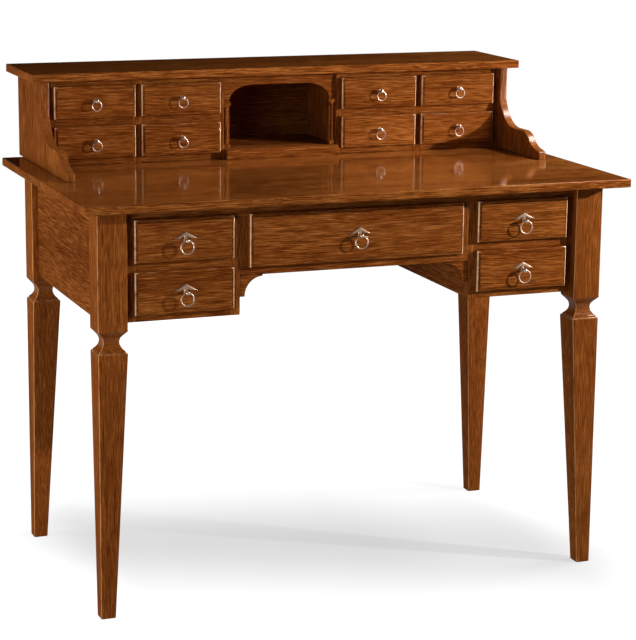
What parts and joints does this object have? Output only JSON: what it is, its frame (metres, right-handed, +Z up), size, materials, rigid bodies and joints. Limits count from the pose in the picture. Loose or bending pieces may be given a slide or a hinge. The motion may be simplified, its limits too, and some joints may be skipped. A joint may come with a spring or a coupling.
{
  "type": "bonheur du jour writing desk",
  "caption": "Walnut bonheur du jour: a kneehole writing desk on square tapered legs, with a raised gallery of small drawers and an arched niche.",
  "frame": {"origin": "on the floor, at the middle of the overall width and depth", "axes": "+X towards the sitter's right, +Y from the drawer fronts to the back, +Z up"},
  "size_m": [1.08, 0.674, 0.9635],
  "materials": {
    "walnut": "wax-polished walnut veneer",
    "old_nickel": "worn nickel with dark hollows"
  },
  "bodies": {
    "desk": {"desk_top": "walnut", "leg_front_left": "walnut", "leg_front_right": "walnut", "leg_back_left": "walnut", "leg_back_right": "walnut", "front_frame": "walnut", "side_panel_left": "walnut", "side_panel_right": "walnut", "back_panel": "walnut", "pedestal_side_left": "walnut", "pedestal_side_right": "walnut", "corner_brackets": "walnut", "drawer_runners": "walnut", "gallery_top": "walnut", "gallery_side_left": "walnut", "gallery_side_right": "walnut", "gallery_back_panel": "walnut", "gallery_dividers": "walnut", "gallery_shelves": "walnut", "gallery_base": "walnut", "niche_arch": "walnut"},
    "left_upper_drawer": {"left_upper_drawer": "walnut", "left_upper_pull_plate": "old_nickel"},
    "left_upper_ring": {"left_upper_pull_ring": "old_nickel"},
    "left_lower_drawer": {"left_lower_drawer": "walnut", "left_lower_pull_plate": "old_nickel"},
    "left_lower_ring": {"left_lower_pull_ring": "old_nickel"},
    "centre_drawer": {"centre_drawer": "walnut", "centre_pull_plate": "old_nickel"},
    "centre_ring": {"centre_pull_ring": "old_nickel"},
    "right_upper_drawer": {"right_upper_drawer": "walnut", "right_upper_pull_plate": "old_nickel"},
    "right_upper_ring": {"right_upper_pull_ring": "old_nickel"},
    "right_lower_drawer": {"right_lower_drawer": "walnut", "right_lower_pull_plate": "old_nickel"},
    "right_lower_ring": {"right_lower_pull_ring": "old_nickel"},
    "gallery_far_left_upper_drawer": {"gallery_far_left_upper_drawer": "walnut", "gallery_far_left_upper_pull_rose": "old_nickel"},
    "gallery_far_left_upper_ring": {"gallery_far_left_upper_pull_ring": "old_nickel"},
    "gallery_far_left_lower_drawer": {"gallery_far_left_lower_drawer": "walnut", "gallery_far_left_lower_pull_rose": "old_nickel"},
    "gallery_far_left_lower_ring": {"gallery_far_left_lower_pull_ring": "old_nickel"},
    "gallery_mid_left_upper_drawer": {"gallery_mid_left_upper_drawer": "walnut", "gallery_mid_left_upper_pull_rose": "old_nickel"},
    "gallery_mid_left_upper_ring": {"gallery_mid_left_upper_pull_ring": "old_nickel"},
    "gallery_mid_left_lower_drawer": {"gallery_mid_left_lower_drawer": "walnut", "gallery_mid_left_lower_pull_rose": "old_nickel"},
    "gallery_mid_left_lower_ring": {"gallery_mid_left_lower_pull_ring": "old_nickel"},
    "gallery_mid_right_upper_drawer": {"gallery_mid_right_upper_drawer": "walnut", "gallery_mid_right_upper_pull_rose": "old_nickel"},
    "gallery_mid_right_upper_ring": {"gallery_mid_right_upper_pull_ring": "old_nickel"},
    "gallery_mid_right_lower_drawer": {"gallery_mid_right_lower_drawer": "walnut", "gallery_mid_right_lower_pull_rose": "old_nickel"},
    "gallery_mid_right_lower_ring": {"gallery_mid_right_lower_pull_ring": "old_nickel"},
    "gallery_far_right_upper_drawer": {"gallery_far_right_upper_drawer": "walnut", "gallery_far_right_upper_pull_rose": "old_nickel"},
    "gallery_far_right_upper_ring": {"gallery_far_right_upper_pull_ring": "old_nickel"},
    "gallery_far_right_lower_drawer": {"gallery_far_right_lower_drawer": "walnut", "gallery_far_right_lower_pull_rose": "old_nickel"},
    "gallery_far_right_lower_ring": {"gallery_far_right_lower_pull_ring": "old_nickel"}
  },
  "joints": [
    {"name": "left_upper_slide", "type": "slide", "parent": "desk", "child": "left_upper_drawer", "axis": [0, -1, 0], "range_m": [0, 0.34]},
    {"name": "left_upper_ring_swing", "type": "hinge", "parent": "left_upper_drawer", "child": "left_upper_ring", "pos_m": [-0.33925, -0.296, 0.70275], "axis": [-1, 0, 0], "range_deg": [-18, 95]},
    {"name": "left_lower_slide", "type": "slide", "parent": "desk", "child": "left_lower_drawer", "axis": [0, -1, 0], "range_m": [0, 0.34]},
    {"name": "left_lower_ring_swing", "type": "hinge", "parent": "left_lower_drawer", "child": "left_lower_ring", "pos_m": [-0.33925, -0.296, 0.60675], "axis": [-1, 0, 0], "range_deg": [-18, 95]},
    {"name": "centre_slide", "type": "slide", "parent": "desk", "child": "centre_drawer", "axis": [0, -1, 0], "range_m": [0, 0.34]},
    {"name": "centre_ring_swing", "type": "hinge", "parent": "centre_drawer", "child": "centre_ring", "pos_m": [0, -0.296, 0.69275], "axis": [-1, 0, 0], "range_deg": [-18, 95]},
    {"name": "right_upper_slide", "type": "slide", "parent": "desk", "child": "right_upper_drawer", "axis": [0, -1, 0], "range_m": [0, 0.34]},
    {"name": "right_upper_ring_swing", "type": "hinge", "parent": "right_upper_drawer", "child": "right_upper_ring", "pos_m": [0.33925, -0.296, 0.70275], "axis": [-1, 0, 0], "range_deg": [-18, 95]},
    {"name": "right_lower_slide", "type": "slide", "parent": "desk", "child": "right_lower_drawer", "axis": [0, -1, 0], "range_m": [0, 0.34]},
    {"name": "right_lower_ring_swing", "type": "hinge", "parent": "right_lower_drawer", "child": "right_lower_ring", "pos_m": [0.33925, -0.296, 0.60675], "axis": [-1, 0, 0], "range_deg": [-18, 95]},
    {"name": "gallery_far_left_upper_slide", "type": "slide", "parent": "desk", "child": "gallery_far_left_upper_drawer", "axis": [0, -1, 0], "range_m": [0, 0.11]},
    {"name": "gallery_far_left_upper_ring_swing", "type": "hinge", "parent": "gallery_far_left_upper_drawer", "child": "gallery_far_left_upper_ring", "pos_m": [-0.38875, 0.1255, 0.9075], "axis": [-1, 0, 0], "range_deg": [-18, 95]},
    {"name": "gallery_far_left_lower_slide", "type": "slide", "parent": "desk", "child": "gallery_far_left_lower_drawer", "axis": [0, -1, 0], "range_m": [0, 0.11]},
    {"name": "gallery_far_left_lower_ring_swing", "type": "hinge", "parent": "gallery_far_left_lower_drawer", "child": "gallery_far_left_lower_ring", "pos_m": [-0.38875, 0.1255, 0.828], "axis": [-1, 0, 0], "range_deg": [-18, 95]},
    {"name": "gallery_mid_left_upper_slide", "type": "slide", "parent": "desk", "child": "gallery_mid_left_upper_drawer", "axis": [0, -1, 0], "range_m": [0, 0.11]},
    {"name": "gallery_mid_left_upper_ring_swing", "type": "hinge", "parent": "gallery_mid_left_upper_drawer", "child": "gallery_mid_left_upper_ring", "pos_m": [-0.21225, 0.1255, 0.9075], "axis": [-1, 0, 0], "range_deg": [-18, 95]},
    {"name": "gallery_mid_left_lower_slide", "type": "slide", "parent": "desk", "child": "gallery_mid_left_lower_drawer", "axis": [0, -1, 0], "range_m": [0, 0.11]},
    {"name": "gallery_mid_left_lower_ring_swing", "type": "hinge", "parent": "gallery_mid_left_lower_drawer", "child": "gallery_mid_left_lower_ring", "pos_m": [-0.21225, 0.1255, 0.828], "axis": [-1, 0, 0], "range_deg": [-18, 95]},
    {"name": "gallery_mid_right_upper_slide", "type": "slide", "parent": "desk", "child": "gallery_mid_right_upper_drawer", "axis": [0, -1, 0], "range_m": [0, 0.11]},
    {"name": "gallery_mid_right_upper_ring_swing", "type": "hinge", "parent": "gallery_mid_right_upper_drawer", "child": "gallery_mid_right_upper_ring", "pos_m": [0.21225, 0.1255, 0.9075], "axis": [-1, 0, 0], "range_deg": [-18, 95]},
    {"name": "gallery_mid_right_lower_slide", "type": "slide", "parent": "desk", "child": "gallery_mid_right_lower_drawer", "axis": [0, -1, 0], "range_m": [0, 0.11]},
    {"name": "gallery_mid_right_lower_ring_swing", "type": "hinge", "parent": "gallery_mid_right_lower_drawer", "child": "gallery_mid_right_lower_ring", "pos_m": [0.21225, 0.1255, 0.828], "axis": [-1, 0, 0], "range_deg": [-18, 95]},
    {"name": "gallery_far_right_upper_slide", "type": "slide", "parent": "desk", "child": "gallery_far_right_upper_drawer", "axis": [0, -1, 0], "range_m": [0, 0.11]},
    {"name": "gallery_far_right_upper_ring_swing", "type": "hinge", "parent": "gallery_far_right_upper_drawer", "child": "gallery_far_right_upper_ring", "pos_m": [0.38875, 0.1255, 0.9075], "axis": [-1, 0, 0], "range_deg": [-18, 95]},
    {"name": "gallery_far_right_lower_slide", "type": "slide", "parent": "desk", "child": "gallery_far_right_lower_drawer", "axis": [0, -1, 0], "range_m": [0, 0.11]},
    {"name": "gallery_far_right_lower_ring_swing", "type": "hinge", "parent": "gallery_far_right_lower_drawer", "child": "gallery_far_right_lower_ring", "pos_m": [0.38875, 0.1255, 0.828], "axis": [-1, 0, 0], "range_deg": [-18, 95]}
  ]
}
